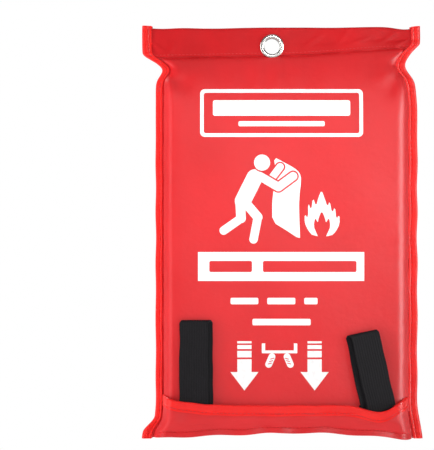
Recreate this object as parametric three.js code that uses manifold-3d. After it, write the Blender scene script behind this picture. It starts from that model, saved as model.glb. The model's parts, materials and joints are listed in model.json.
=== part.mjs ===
// A fire blanket folded in its hanging pouch of red coated cloth.
// Millimetres. +X is the right side seen from the front, +Z is up, and the front faces -Y.
// The origin is the centre of the eyelet's hole. The sewn pieces are laid out about the pouch's own centre line.
import * as THREE from "three";
import { mergeVertices } from "three/addons/utils/BufferGeometryUtils.js";
import Module from "manifold-3d";

// Cloth, tape and the air left between layers that touch.
const cloth = 0.6;
const gap = 0.3;
const ply = cloth + gap;

// Outline of the pouch, seen from the front.
const bodyWidth = 190;
const headerFlare = 7;
const bottomFlare = 7;
const headerTop = 12;
const headerDepth = 20;
const pouchHeight = 285;
const cornerDrop = 5;
const pinchDepth = 7;
const pinchBelowSeam = 9;
const pinchSpread = 6;
const bottomFlareHeight = 35;
const headerSeam = headerTop - headerDepth;
const bottomMiddle = headerTop - pouchHeight;

// The pouch in depth: its back stands out from the side seams, and its front swells below the header.
const backDepth = 3.45;
const swellHeight = 41;
const swellPower = 0.75;
const shoulderRadius = 8;
const flapShoulderRadius = 8;
const seamInset = 1.8;
const bandInset = 2.6;
const bindingWidth = 6.5;
const bindingOverhang = 1.5;

// The bottom flap, which closes the mouth like a pillow case.
const flapHeight = 19;
const mouthRise = 9.5;
const mouthDip = 4;
const mouthDipSpread = 14;
const hemHeight = 4;
const floorRise = 9.5;
const flapHug = 2.6;
const flapHugReach = 45;
const flapBindingWidth = 6;

// The folded blanket.
const leafThickness = 3.4;
const leafCount = 5;
const packSideRoom = 22;
const packTopRoom = 44;
const packSlack = 0.5;
const packAboveFrontEdge = 2;

// The pull tabs of doubled webbing.
const webThickness = 1.2;
const webWidth = 20;
const frontTuck = 4;
const tabHingeRise = 4.5;
const tabOpening = 1.45;
const tabSewnLength = 40;
const leftTabInset = 35.2;
const leftTabLength = 55.7;
const rightTabInset = 27.8;
const rightTabLength = 46.9;
const rightTabLean = THREE.MathUtils.degToRad(12.3);

// The two-part eyelet.
const eyeletOffset = 6;
const holeRadius = 5.5;
const barrelWall = 0.4;
const flangeRadius = 8.5;
const flangeCrown = 1.1;
const washerThickness = 0.6;
const rollRadius = 7.3;
const rollCrown = 0.75;

// Depths of the layers, from the back panel forwards. Each is the middle of its layer.
const seamBack = ply / 2;
const seamFront = -ply / 2;
const seamFlap = seamFront - ply;
const backLayer = seamBack + backDepth;
const packBack = backLayer - cloth / 2 - packSlack;
const leafPitch = leafThickness + gap;
const packFront = packBack - (leafCount - 1) * leafPitch - leafThickness;
const webPitch = webThickness + gap;
const webRearOuter = packFront - gap - webThickness / 2;
const webRearInner = webRearOuter - webPitch;
const frontLayer = webRearInner - webThickness / 2 - gap - cloth / 2;
const webFrontInner = frontLayer - (webRearInner - frontLayer);
const webFrontOuter = webFrontInner - webPitch;
const flapLayer = webFrontOuter - webThickness / 2 - gap - ply - cloth / 2;

// Heights that follow from the ones above.
const mouthMiddle = bottomMiddle + flapHeight - ply;
const frontEdge = mouthMiddle - frontTuck;
const tabHinge = mouthMiddle + tabHingeRise;
const packBottom = frontEdge + packAboveFrontEdge;
const packTop = headerSeam - packTopRoom;

const clothRed = { color: 0xc41e22, roughness: 0.42, metalness: 0 };
const tapeRed = { color: 0xe02424, roughness: 0.35, metalness: 0 };
const webbingBlack = { color: 0x1b191c, roughness: 0.8, metalness: 0 };
const glassCloth = { color: 0xe6e1d2, roughness: 0.75, metalness: 0 };
const nickel = { color: 0xc9c6c0, roughness: 0.25, metalness: 1 };

const wasm = await Module();
wasm.setup();
const { clamp, smoothstep } = THREE.MathUtils;

/** Evenly spaced values from one to the other, both ends included. */
const steps = (from, to, count) =>
  Array.from({ length: count + 1 }, (_, i) => from + ((to - from) * i) / count);

/** Several runs of values in one list, without the doubled value where two runs meet. */
const runs = (...lists) => lists.flatMap((list, i) => (i ? list.slice(1) : list));

/** Half the pouch's width at a height: wide header, pinch under it, straight body, flared foot. */
function halfWidth(z) {
  const flare = headerFlare * smoothstep(z, headerSeam - 4, headerSeam + 4);
  const pinch = pinchDepth * Math.exp(-(((headerSeam - pinchBelowSeam - z) / pinchSpread) ** 2));
  const foot = clamp((bottomMiddle + bottomFlareHeight - cornerDrop - z) / bottomFlareHeight, 0, 1);
  return (bodyWidth + flare + foot ** 2 * bottomFlare) / 2 - pinch;
}

/** How far the pouch has swelled out at a height, from 0 at the header seam to 1. */
function swell(z) {
  const t = clamp((headerSeam - 1 - z) / swellHeight, 0, 1);
  return (1 - (1 - t) ** 2) ** swellPower;
}

/** Height of the bottom edge, and of the flap's mouth, at a share of the half width. */
const bottomEdge = (share) => bottomMiddle - cornerDrop * Math.abs(share) ** 3;
function mouthEdge(share) {
  const fromRightTab = share * (bodyWidth / 2) - (bodyWidth / 2 - rightTabInset);
  const dip = mouthDip * Math.exp(-((fromRightTab / mouthDipSpread) ** 2));
  return mouthMiddle + mouthRise * share ** 4 - dip;
}

/** Columns across a panel: flat in the side seams, a rounded shoulder on each side, flat between. */
function panelColumns(inset, radius, middleSteps) {
  const flat = steps(seamInset, inset, 1).map((edge) => ({ share: 1, edge, lift: 0 }));
  const shoulder = steps(0, Math.PI / 2, 7).map((turn) => ({
    share: 1,
    edge: inset + radius * (1 - Math.cos(turn)),
    lift: Math.sin(turn),
  }));
  const side = runs(flat, shoulder);
  const left = side.map((c) => ({ ...c, share: -1 }));
  const middle = steps(-1, 1, middleSteps).map((share) => ({ share, edge: inset + radius, lift: 1 }));
  return runs(left, middle, side.reverse());
}

const acrossAt = (column, z) => column.share * (halfWidth(z) - column.edge);

/** A sheet of cloth: the middle surface through point(column, row), given its thickness both ways. */
function sheet(columns, rows, point, thickness = cloth) {
  const across = columns.length - 1;
  const down = rows.length - 1;
  const middle = columns.map((c) => rows.map((r) => point(c, r)));
  const geometry = new THREE.BoxGeometry(1, 1, 1, across, down, 1);
  const position = geometry.getAttribute("position");
  const alongColumns = new THREE.Vector3();
  const alongRows = new THREE.Vector3();
  for (let k = 0; k < position.count; k++) {
    const i = Math.round((position.getX(k) + 0.5) * across);
    const j = Math.round((position.getY(k) + 0.5) * down);
    const [before, after] = [middle[Math.max(i - 1, 0)], middle[Math.min(i + 1, across)]];
    alongColumns.subVectors(after[j], before[j]);
    alongRows.subVectors(middle[i][Math.min(j + 1, down)], middle[i][Math.max(j - 1, 0)]);
    const side = alongColumns.cross(alongRows).normalize();
    const place = middle[i][j].clone().addScaledVector(side, position.getZ(k) * thickness);
    position.setXYZ(k, place.x, place.y, place.z);
  }
  return geometry;
}

/** Tape folded over an edge, seen end on: how far in from the fold, and how far across the edge. */
function foldedTape(reach, front, back, legSteps) {
  const radius = (front + back) / 2;
  const turnStart = radius + cloth / 2;
  const frontLeg = steps(reach, turnStart, legSteps).map((inward) => ({ inward, across: -front }));
  const turn = steps(-Math.PI / 2, Math.PI / 2, 8).map((angle) => ({
    inward: turnStart - radius * Math.cos(angle),
    across: (back - front) / 2 + radius * Math.sin(angle),
  }));
  const backLeg = steps(turnStart, reach, legSteps).map((inward) => ({ inward, across: back }));
  return runs(frontLeg, turn, backLeg);
}

/** A flat strip bent along a path in the YZ plane, then given its width along X about a centre. */
function strip(path, thickness, width, centre) {
  const points = path.getPoints(6);
  const sideOf = (i) => {
    const into = points[i].clone().sub(points[Math.max(i - 1, 0)]).normalize();
    const out = points[Math.min(i + 1, points.length - 1)].clone().sub(points[i]).normalize();
    const along = into.clone().add(out).normalize();
    const reach = thickness / 2 / (i && i < points.length - 1 ? along.dot(out) : 1);
    return new THREE.Vector2(-along.y, along.x).multiplyScalar(reach);
  };
  const left = points.map((p, i) => p.clone().add(sideOf(i)));
  const right = points.map((p, i) => p.clone().sub(sideOf(i)));
  const outline = new THREE.Shape([...left, ...right.reverse()]);
  const geometry = new THREE.ExtrudeGeometry(outline, { depth: width, bevelEnabled: false });
  const [x, y, z] = [new THREE.Vector3(1, 0, 0), new THREE.Vector3(0, 1, 0), new THREE.Vector3(0, 0, 1)];
  return geometry.applyMatrix4(new THREE.Matrix4().makeBasis(y, z, x)).translate(centre - width / 2, 0, 0);
}

function toSolid(geometry) {
  const bare = geometry.clone();
  bare.deleteAttribute("normal");
  bare.deleteAttribute("uv");
  const merged = mergeVertices(bare, 1e-4);
  return new wasm.Manifold(
    new wasm.Mesh({
      numProp: 3,
      vertProperties: new Float32Array(merged.getAttribute("position").array),
      triVerts: new Uint32Array(merged.index.array),
    }),
  );
}

function cutAway(geometry, tool) {
  const mesh = toSolid(geometry).subtract(toSolid(tool)).getMesh();
  const result = new THREE.BufferGeometry();
  result.setAttribute("position", new THREE.BufferAttribute(mesh.vertProperties, 3));
  result.setIndex(new THREE.BufferAttribute(mesh.triVerts, 1));
  return result;
}

function addPiece(parent, name, geometry, finish) {
  const mesh = new THREE.Mesh(geometry, new THREE.MeshStandardMaterial(finish));
  mesh.name = name;
  parent.add(mesh);
}

const group = new THREE.Group();
const pouch = new THREE.Group();
pouch.position.x = eyeletOffset;
group.add(pouch);

/** The hole punched through every layer of the header for the eyelet's barrel. */
const punch = new THREE.CylinderGeometry(
  holeRadius + barrelWall + gap, holeRadius + barrelWall + gap, 4 * headerDepth, 32,
).translate(-eyeletOffset, 0, 0);

/** Rows down a panel: close together at the header and the pinch, far apart on the straight body. */
const panelTop = headerTop - cloth - ply - gap;
const panelRows = (bottomRun) =>
  runs(
    steps(0, headerSeam - 1 - panelTop, 4).map((fall) => panelTop + fall),
    steps(headerSeam - 1, headerSeam - 1 - swellHeight, 14),
    steps(headerSeam - 1 - swellHeight, frontEdge + bottomFlareHeight, 3),
    bottomRun,
  );

// Back panel: one flat piece of cloth, which stands out a little behind the side seams.
const backInset = bindingWidth + 1.5;
addPiece(
  pouch,
  "back_panel",
  cutAway(
    sheet(
      panelColumns(backInset, flapShoulderRadius, 6),
      panelRows(steps(frontEdge + bottomFlareHeight, bottomMiddle, 6)).reverse(),
      (column, row) => {
        const below = clamp((frontEdge - row) / (frontEdge - bottomMiddle), 0, 1);
        const z = row + below * (bottomEdge(column.share) - bottomMiddle);
        return new THREE.Vector3(acrossAt(column, z), seamBack + backDepth * column.lift * swell(row), z);
      },
    ),
    punch,
  ),
  clothRed,
);

// Front panel: printed cloth, swelled over the folded blanket. Its lower edge is free, behind the flap.
const frontInset = bindingWidth + 3.6;
const frontSwell = seamFront - frontLayer;
addPiece(
  pouch,
  "front_panel",
  cutAway(
    sheet(
      panelColumns(frontInset, shoulderRadius, 6),
      panelRows(steps(frontEdge + bottomFlareHeight, frontEdge, 4)).reverse(),
      (column, z) =>
        new THREE.Vector3(acrossAt(column, z), seamFront - frontSwell * column.lift * swell(z), z),
    ),
    punch,
  ),
  clothRed,
);

// Header band: a strip folded over the top ends of both panels and sewn through them.
const bandHalf = 1.5 * ply;
addPiece(
  pouch,
  "header_band",
  cutAway(
    sheet(
      steps(-1, 1, 6),
      foldedTape(headerDepth, bandHalf, bandHalf, 5),
      (share, { inward, across }) => {
        const z = headerTop - inward;
        return new THREE.Vector3(share * (halfWidth(z) - bandInset), across, z);
      },
    ),
    punch,
  ),
  clothRed,
);

// Side bindings: bias tape folded over each side seam, from above the header to below the foot.
function sideBinding(side) {
  const withBand = 2.5 * ply;
  const bodyOnly = 1.5 * ply;
  const mouthEnd = mouthEdge(1);
  const rows = runs(
    steps(headerTop + bindingOverhang, headerSeam, 4),
    steps(headerSeam, headerSeam - 24, 12),
    steps(headerSeam - 24, mouthEnd + 12, 4),
    steps(mouthEnd + 12, bottomEdge(1) - 1, 8),
  );
  const tapeAt = rows.map((z) => {
    const overBand = smoothstep(z, headerSeam - 6, headerSeam - 0.6);
    const overFlap = 1 - smoothstep(z, mouthEnd + 2, mouthEnd + 9);
    const front = bodyOnly + (withBand - bodyOnly) * Math.max(overBand, overFlap);
    const back = bodyOnly + (withBand - bodyOnly) * overBand;
    return foldedTape(bindingWidth, front, back, 1);
  });
  const columns = tapeAt[0].map((_, k) => k);
  return sheet(columns, rows.map((_, r) => r), (k, r) => {
    const { inward, across } = tapeAt[r][k];
    return new THREE.Vector3(side * (halfWidth(rows[r]) - inward), across, rows[r]);
  });
}
addPiece(pouch, "left_side_binding", sideBinding(-1), tapeRed);
addPiece(pouch, "right_side_binding", sideBinding(1), tapeRed);

// Pocket flap: sewn to the back panel's bottom edge and into both side seams, open along its top edge.
const flapInset = bindingWidth + 1.7;
const flapColumns = panelColumns(flapInset, flapShoulderRadius, 16);
/** Depth of the flap's upright part at a column, closer to the front panel between the two tabs. */
function flapDepth({ share, lift }) {
  const between = Math.abs(share) * (bodyWidth / 2) / flapHugReach;
  return seamFlap + (flapLayer - seamFlap) * lift + flapHug * lift * (1 - smoothstep(between, 0.5, 1));
}
const flapRows = runs(
  [{ part: "hem", at: 0 }, { part: "hem", at: 1 }],
  steps(0, 1, 7).map((at) => ({ part: "floor", at })),
  [{ part: "wall", at: 0 }, { part: "wall", at: 1 }],
);
function flapPoint(column, { part, at }) {
  const foot = bottomEdge(column.share);
  const seamDepth = seamFlap + (backLayer - ply - seamFlap) * column.lift;
  const turn = (part === "floor" ? at : part === "wall" ? 1 : 0) * (Math.PI / 2);
  const hemTop = foot + hemHeight;
  const top = hemTop + floorRise;
  const z = {
    hem: foot + hemHeight * at,
    floor: hemTop + floorRise * (1 - Math.cos(turn)),
    wall: top + (mouthEdge(column.share) - top) * at,
  }[part];
  const depth = seamDepth + (flapDepth(column) - seamDepth) * Math.sin(turn);
  return new THREE.Vector3(acrossAt(column, z), depth, z);
}
addPiece(pouch, "pocket_flap", sheet(flapColumns, flapRows, flapPoint), clothRed);

// Flap binding: tape folded over the flap's top edge, between the side bindings.
const flapEdgeColumns = flapColumns.filter(({ lift }) => lift > 0.1);
const flapTape = foldedTape(flapBindingWidth, ply, ply, 1);
function flapEdgeSide(k) {
  const at = (i) => flapPoint(flapEdgeColumns[clamp(i, 0, flapEdgeColumns.length - 1)], { part: "wall", at: 1 });
  const along = at(k + 1).sub(at(k - 1)).setZ(0).normalize();
  return new THREE.Vector3(along.y, -along.x, 0);
}
addPiece(
  pouch,
  "flap_binding",
  sheet(flapEdgeColumns.map((_, k) => k), flapTape, (k, { inward, across }) => {
    const place = flapPoint(flapEdgeColumns[k], { part: "wall", at: 1 });
    const z = place.z + ply + cloth / 2 - inward;
    place.set(acrossAt(flapEdgeColumns[k], Math.min(z, place.z)), place.y, z);
    return place.addScaledVector(flapEdgeSide(k), -across);
  }),
  tapeRed,
);

// Eyelet: flange and barrel in one piece, pushed through from the front and rolled over the washer.
const headerFace = 2 * ply - gap / 2;
const barrelRadius = holeRadius + barrelWall;
const washerFace = headerFace + gap;
const rollFace = washerFace + washerThickness + gap;
const eyeletOutline = new THREE.Path();
eyeletOutline.moveTo(barrelRadius, -headerFace - gap);
eyeletOutline.lineTo(flangeRadius, -headerFace - gap);
eyeletOutline.quadraticCurveTo(
  flangeRadius, -headerFace - gap - flangeCrown, (holeRadius + flangeRadius) / 2, -headerFace - gap - flangeCrown,
);
eyeletOutline.quadraticCurveTo(
  holeRadius, -headerFace - gap - flangeCrown, holeRadius, -headerFace - gap + barrelWall,
);
eyeletOutline.lineTo(holeRadius, rollFace);
eyeletOutline.quadraticCurveTo(
  holeRadius, rollFace + rollCrown, (holeRadius + rollRadius) / 2, rollFace + rollCrown,
);
eyeletOutline.quadraticCurveTo(rollRadius, rollFace + rollCrown, rollRadius, rollFace);
eyeletOutline.lineTo(barrelRadius, rollFace);
eyeletOutline.lineTo(barrelRadius, -headerFace - gap);
addPiece(group, "eyelet", new THREE.LatheGeometry(eyeletOutline.getPoints(4).reverse(), 32), nickel);

// Washer: the plain ring behind the header that the barrel is rolled over.
const washerOutline = new THREE.Path([
  new THREE.Vector2(barrelRadius + gap, washerFace),
  new THREE.Vector2(flangeRadius, washerFace),
  new THREE.Vector2(flangeRadius, washerFace + washerThickness),
  new THREE.Vector2(barrelRadius + gap, washerFace + washerThickness),
  new THREE.Vector2(barrelRadius + gap, washerFace),
]);
addPiece(group, "eyelet_washer", new THREE.LatheGeometry(washerOutline.getPoints(), 32), nickel);

// Blanket: glass cloth folded to a narrow stack, then folded up and down into leaves joined by round folds.
const foldRadius = leafPitch / 2;
const foldReach = foldRadius + leafThickness / 2;
const leafLayer = (k) => packBack - leafThickness / 2 - k * leafPitch;
const blanketPath = new THREE.Path();
blanketPath.moveTo(leafLayer(0), packTop);
for (let k = 0; k < leafCount; k++) {
  const downwards = k % 2 === 0;
  const last = k === leafCount - 1;
  const foldHeight = downwards ? packBottom + foldReach : packTop - foldReach;
  blanketPath.lineTo(leafLayer(k), last ? packBottom : foldHeight);
  if (last) break;
  const centre = leafLayer(k) - foldRadius;
  blanketPath.absarc(centre, foldHeight, foldRadius, 0, downwards ? -Math.PI : Math.PI, downwards);
}
const packWidth = bodyWidth - 2 * packSideRoom;
addPiece(pouch, "folded_blanket", strip(blanketPath, leafThickness, packWidth, 0), glassCloth);

/** The part of a tab inside the pouch: doubled webbing from the mouth, round the front panel's edge, to where it is sewn on. */
function tabAnchor(centre) {
  const path = new THREE.Path();
  const sewnTop = frontEdge + tabSewnLength;
  const innerTurn = webRearInner - frontLayer;
  const outerTurn = webRearOuter - frontLayer;
  path.moveTo(webFrontInner, tabHinge - gap);
  path.lineTo(webFrontInner, frontEdge);
  path.absarc(frontLayer, frontEdge, innerTurn, Math.PI, 2 * Math.PI, false);
  path.lineTo(webRearInner, sewnTop);
  path.absarc((webRearInner + webRearOuter) / 2, sewnTop, webPitch / 2, Math.PI, 0, true);
  path.lineTo(webRearOuter, frontEdge);
  path.absarc(frontLayer, frontEdge, outerTurn, 0, -Math.PI, true);
  path.lineTo(webFrontOuter, tabHinge - gap);
  return strip(path, webThickness, webWidth, centre);
}

/** The loop that lies up on the front panel, its two plies spreading a little towards the top. */
function pullTab(centre, length, lean) {
  const path = new THREE.Path();
  const below = webWidth;
  const top = length - tabOpening - webThickness / 2;
  const spread = new THREE.Vector2(webFrontInner - 2 * tabOpening, top);
  path.moveTo(webFrontInner, -below);
  path.lineTo(webFrontInner, top);
  path.absarc(webFrontInner - tabOpening, top, tabOpening, 0, Math.PI, false);
  path.lineTo(spread.x, spread.y);
  path.lineTo(webFrontOuter, 0);
  path.lineTo(webFrontOuter, -below);
  const loop = strip(path, webThickness, webWidth, 0).rotateY(-lean).translate(centre, 0, tabHinge);
  const under = new THREE.BoxGeometry(4 * webWidth, 4 * webWidth, 4 * webWidth);
  under.translate(centre, webFrontInner, tabHinge - 2 * webWidth);
  return cutAway(loop, under);
}

const leftTab = -(bodyWidth / 2 - leftTabInset);
const rightTab = bodyWidth / 2 - rightTabInset;
addPiece(pouch, "left_tab_anchor", tabAnchor(leftTab), webbingBlack);
addPiece(pouch, "left_pull_tab", pullTab(leftTab, leftTabLength, 0), webbingBlack);
addPiece(pouch, "right_tab_anchor", tabAnchor(rightTab), webbingBlack);
addPiece(pouch, "right_pull_tab", pullTab(rightTab, rightTabLength, rightTabLean), webbingBlack);

export default group;
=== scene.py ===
import json
import math

import bmesh
import bpy
import numpy as np
from mathutils import Matrix, Vector, geometry
from mathutils.bvhtree import BVHTree


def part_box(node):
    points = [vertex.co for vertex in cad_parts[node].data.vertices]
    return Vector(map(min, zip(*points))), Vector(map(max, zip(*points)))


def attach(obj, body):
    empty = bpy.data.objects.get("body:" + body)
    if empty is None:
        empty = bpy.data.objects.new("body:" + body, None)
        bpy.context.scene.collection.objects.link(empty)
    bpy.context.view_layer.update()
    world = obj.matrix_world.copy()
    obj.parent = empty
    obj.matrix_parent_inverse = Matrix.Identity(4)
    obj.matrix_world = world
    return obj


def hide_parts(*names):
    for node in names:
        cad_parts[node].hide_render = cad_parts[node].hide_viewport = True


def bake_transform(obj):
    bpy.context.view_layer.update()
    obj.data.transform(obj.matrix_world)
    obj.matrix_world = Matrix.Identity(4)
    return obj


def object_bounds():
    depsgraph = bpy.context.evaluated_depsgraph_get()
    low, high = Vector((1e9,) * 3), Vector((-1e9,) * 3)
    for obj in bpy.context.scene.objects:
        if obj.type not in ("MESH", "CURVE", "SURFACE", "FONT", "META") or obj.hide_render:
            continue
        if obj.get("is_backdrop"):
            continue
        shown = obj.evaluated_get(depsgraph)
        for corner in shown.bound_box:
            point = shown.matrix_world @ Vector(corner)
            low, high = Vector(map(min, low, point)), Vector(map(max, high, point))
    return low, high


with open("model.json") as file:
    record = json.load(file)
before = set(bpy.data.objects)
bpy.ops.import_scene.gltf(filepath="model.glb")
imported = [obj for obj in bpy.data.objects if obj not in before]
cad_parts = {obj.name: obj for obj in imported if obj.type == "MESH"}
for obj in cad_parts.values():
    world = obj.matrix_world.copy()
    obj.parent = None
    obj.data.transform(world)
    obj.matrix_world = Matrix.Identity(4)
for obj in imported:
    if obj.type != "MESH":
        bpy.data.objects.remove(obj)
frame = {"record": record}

cad_low, cad_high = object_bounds()

# ---------------------------------------------------------------------------------------------
# Back panel: one flat piece of coated polyester cloth that hangs against the wall. Its cut, the
# pouch's outline, is shared by the other cloth pieces. It is sewn into both side bindings and
# under the header band. Shapes are worked out in millimetres and made in metres.


def corners_mm(node):
    low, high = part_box(node)
    return low * 1000, high * 1000


band_low, band_high = corners_mm("header_band")
front_low, front_high = corners_mm("front_panel")
back_high = corners_mm("back_panel")[1]
flap_low, flap_high = corners_mm("pocket_flap")
ply, cloth_thick = 0.9, 0.5
eyelet_punch = 7
pouch_middle = (front_low.x + front_high.x) / 2
header_top, header_seam = band_high.z, band_low.z
front_edge = front_low.z
foot_middle = flap_low.z + 5.1
front_layer, back_layer = front_low.y + 0.3, back_high.y - 0.3
body_half, header_flare, pinch_in, foot_flare = 95, 3.5, 7, 3.5
right_header_full, right_body_full = 1.2, 1.5
seam_inset, turn_end = 1.8, 24
header_flop, header_dog_ears, seam_climb = 0.1, (1.6, 0.8), 3.4
left_draw_in, left_drawn_band = 7.5, 28.5


def ease(t):
    t = np.clip(t, 0, 1)
    return t * t * (3 - 2 * t)


def half_width(z, side=0):
    """Half the pouch's width: wide header, pinch under it, straight body, flared foot. The right
    side, where side is 1, is cut a little fuller than the left."""
    flare = header_flare * ease((z - header_seam + 4) / 8)
    pinch = pinch_in * np.exp(-(((header_seam - 9 - z) / 6) ** 2))
    foot = np.clip((foot_middle + 30 - z) / 35, 0, 1)
    fuller = right_header_full + right_body_full * ease((header_seam - 14 - z) / 24)
    return body_half + flare + foot_flare * foot**2 - pinch + fuller * np.maximum(side, 0)


def swell(z):
    """How far the pouch has swelled out over the blanket, from 0 at the header seam to 1."""
    t = np.clip((header_seam - 1 - z) / 41, 0, 1)
    return (1 - (1 - t) ** 2) ** 0.75


def ripples(x, z, spacing, seed, waves=7):
    """Uneven waves in a cloth, about -1 to 1, with crests about a spacing apart."""
    pick = np.random.default_rng(seed)
    total = 0 * x * z
    for _ in range(waves):
        heading, phase = pick.uniform(0, 2 * math.pi, 2)
        rate = 2 * math.pi / (spacing * pick.uniform(0.7, 1.5))
        total = total + np.sin(rate * (x * math.cos(heading) + z * math.sin(heading)) + phase)
    return total / (1.3 * waves**0.5)


def hang(points):
    """Lets the flat pouch hang as it does: its header waves and leans back a little round the
    eyelet, the header's seam climbs to the right, and its left seam is drawn in and a little
    back between the header and the foot. The eyelet stays where it is."""
    x, z = points[..., 0].copy(), points[..., 2].copy()
    free = ease((z - header_seam + 10) / 22) * (1 - np.exp(-((x / 20) ** 2)))
    points[..., 1] += free * (0.8 * np.sin(x / 15 + 0.6) + 0.5 * np.sin(x / 6.7 + 2))
    lean_back = header_flop * ease((z - header_seam) / 10) * (z - header_seam)
    points[..., 1] += lean_back * (1 - np.exp(-((x / 14) ** 2)))
    up = ease((z - header_seam) / 18) * (1 - np.exp(-((x / 26) ** 2)))
    right, left = (x - pouch_middle - 88) / 9, (x - pouch_middle + 84) / 10
    points[..., 2] += up * (
        0.35 * np.sin(x / 13 + 1.2) + 0.3 * np.sin(x / 29)
        - header_dog_ears[0] * np.exp(-(right**2)) - header_dog_ears[1] * np.exp(-(left**2)))
    climb = seam_climb * ease((x - 12) / 80) + 1.7 + 0.02 * x
    points[..., 2] += climb * np.exp(-(((z - header_seam) / 11) ** 2)) + 1.5 * ease((z - 4) / 8)
    on_body = ease((header_seam + 3 - z) / 12) * ease((z - foot_middle + 2) / 12)
    past = np.maximum(pouch_middle - body_half + 25 - x, 0)
    slide = on_body * left_draw_in * (past / left_drawn_band) ** 1.5
    points[..., 0] += slide
    points[..., 1] += 0.5 * slide
    return points


def panel_columns(left, right, depth, count):
    """Columns across a panel, evenly spaced along its cloth, as side, distance in from the edge
    and lift. left and right give how far in the cloth turns outwards and how wide its turn is."""

    def half(start, reach):
        turn = np.linspace(0, math.pi / 2, 60)
        edge = np.r_[seam_inset, start + reach * (1 - np.cos(turn) ** 0.9), body_half]
        lift = np.r_[0, np.sin(turn) ** 0.9, 1]
        along = np.r_[0, np.cumsum(np.hypot(np.diff(edge), depth * np.diff(lift)))]
        even = np.linspace(0, along[-1], count)
        return np.interp(even, along, edge), np.interp(even, along, lift)

    (left_edge, left_lift), (right_edge, right_lift) = half(*left), half(*right)
    side = np.r_[-np.ones(count), np.ones(count - 1)]
    edge = np.r_[left_edge, right_edge[::-1][1:]]
    lift = np.r_[left_lift, right_lift[::-1][1:]]
    return side[:, None], edge[:, None], lift[:, None]


def across_at(columns, z):
    side, edge, _ = columns
    half = half_width(z, side)
    stretched = (half - turn_end) * (body_half - edge) / (body_half - turn_end)
    return pouch_middle + side * np.where(edge < turn_end, half - edge, stretched)


def even_rows(top, foot, depth, count):
    """Heights down a panel, evenly spaced along its swelling cloth."""
    z = np.linspace(top, foot, 900)
    along = np.r_[0, np.cumsum(np.hypot(np.diff(z), depth * np.diff(swell(z))))]
    return np.interp(np.linspace(0, along[-1], count), along, z)[None, :]


def facing(points):
    """The direction that a sheet faces at each of its points, the pouch's front for a panel."""
    down, across = np.gradient(points, axis=1), np.gradient(points, axis=0)
    out = np.cross(down, across)
    return out / np.maximum(np.linalg.norm(out, axis=2, keepdims=True), 1e-9)


def settle(piece, sharp=50):
    """Applies a piece's modifiers, and keeps the edges sharper than an angle in degrees crisp."""
    seen = piece.evaluated_get(bpy.context.evaluated_depsgraph_get())
    mesh = bpy.data.meshes.new_from_object(seen)
    piece.modifiers.clear()
    piece.data = mesh
    mesh.shade_smooth()
    mesh.set_sharp_from_angle(angle=math.radians(sharp))


def new_piece(name, mesh, finish):
    piece = bpy.data.objects.new(name, mesh)
    bpy.context.scene.collection.objects.link(piece)
    mesh.materials.append(finish)
    mesh.shade_smooth()
    return piece


def cloth_piece(name, points, thickness, finish, eyelet_hole=0):
    """A sheet of cloth through points in mm, first across and then down, given its thickness.
    Its weave is laid along it in metres; eyelet_hole is the radius punched for the eyelet."""
    across, down = points.shape[0] - 1, points.shape[1] - 1
    bm = bmesh.new()
    bm.loops.layers.uv.new("UVMap")
    bmesh.ops.create_grid(bm, x_segments=across, y_segments=down, size=1, calc_uvs=True)
    mesh = bpy.data.meshes.new(name)
    bm.to_mesh(mesh)
    flat = np.zeros(len(mesh.vertices) * 3, np.float32)
    mesh.vertices.foreach_get("co", flat)
    flat = flat.reshape(-1, 3)
    share = (flat - flat.min(0)) / np.maximum(flat.max(0) - flat.min(0), 1e-9)
    i = np.rint(share[:, 0] * across).astype(int)
    j = np.rint((1 - share[:, 1]) * down).astype(int)
    mesh.vertices.foreach_set("co", (points[i, j] / 1000).astype(np.float32).ravel())
    u = np.linalg.norm(np.diff(points, axis=0, prepend=points[:1]), axis=2).cumsum(0)
    v = np.linalg.norm(np.diff(points, axis=1, prepend=points[:, :1]), axis=2).cumsum(1)
    laid = np.stack([u - u[across // 2], v], axis=2)[i, j] / 1000
    corner = np.zeros(len(mesh.loops), np.int32)
    mesh.loops.foreach_get("vertex_index", corner)
    mesh.uv_layers["UVMap"].data.foreach_set("uv", laid[corner].astype(np.float32).ravel())
    if eyelet_hole:
        bm.clear()
        bm.from_mesh(mesh)
        inside = [f for f in bm.faces
                  if math.hypot(*f.calc_center_median().xz) < eyelet_hole / 1000]
        bmesh.ops.delete(bm, geom=inside, context="FACES")
        bm.to_mesh(mesh)
    bm.free()
    piece = new_piece(name, mesh, finish)
    wall = piece.modifiers.new("thickness", "SOLIDIFY")
    wall.thickness, wall.offset = thickness / 1000, 0
    settle(piece)
    return piece


class Wire:
    """The value of one socket. Sums and products of wires add the Math nodes that make them."""

    def __init__(self, finish, socket):
        self.finish, self.socket = finish, socket

    def maths(self, operation, *parts):
        return self.finish.node("ShaderNodeMath", {"operation": operation}, dict(enumerate(parts)))

    def __add__(self, other):
        return self.maths("ADD", self, other)

    def __sub__(self, other):
        return self.maths("SUBTRACT", self, other)

    def __mul__(self, other):
        return self.maths("MULTIPLY", self, other)

    __radd__, __rmul__ = __add__, __mul__

    def sine(self):
        return self.maths("SINE", self)


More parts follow.
